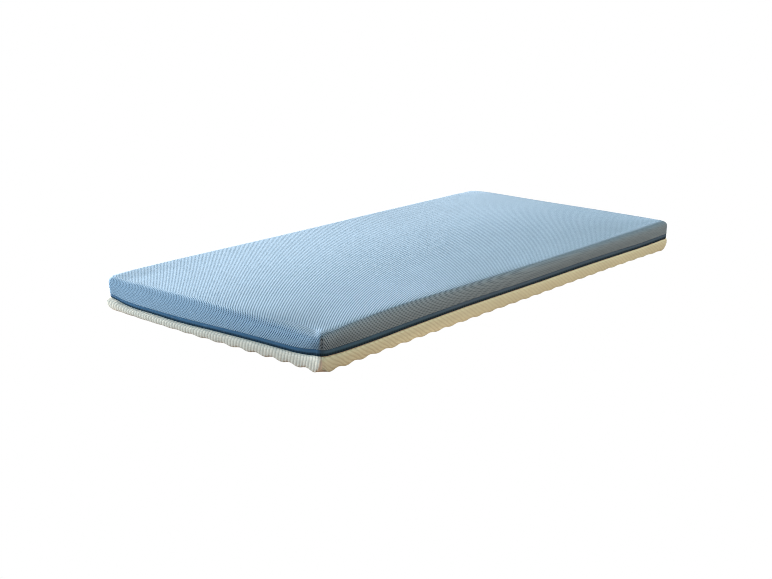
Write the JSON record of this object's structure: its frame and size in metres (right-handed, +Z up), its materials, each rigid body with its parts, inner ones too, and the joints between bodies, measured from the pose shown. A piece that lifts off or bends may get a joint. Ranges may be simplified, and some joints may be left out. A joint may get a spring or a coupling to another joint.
{
  "type": "baby mattress",
  "caption": "Thin filled cot mattress in a two-part knitted cover, light blue above and cream below, joined by a navy border tape, with a bumpy profiled underside.",
  "frame": {"origin": "middle of the footprint, on the surface that the mattress rests on", "axes": "+X along the length, +Y across the width, +Z up out of the sleeping face"},
  "size_m": [1.2034, 0.5849, 0.0765],
  "materials": {
    "blue_mesh_knit": "matt light blue open mesh knit",
    "navy_tape": "matt navy woven tape",
    "cream_rib_knit": "matt cream ribbed knit"
  },
  "bodies": {
    "root": {"cover_top": "blue_mesh_knit", "border_tape": "navy_tape", "cover_base": "cream_rib_knit"}
  },
  "joints": []
}
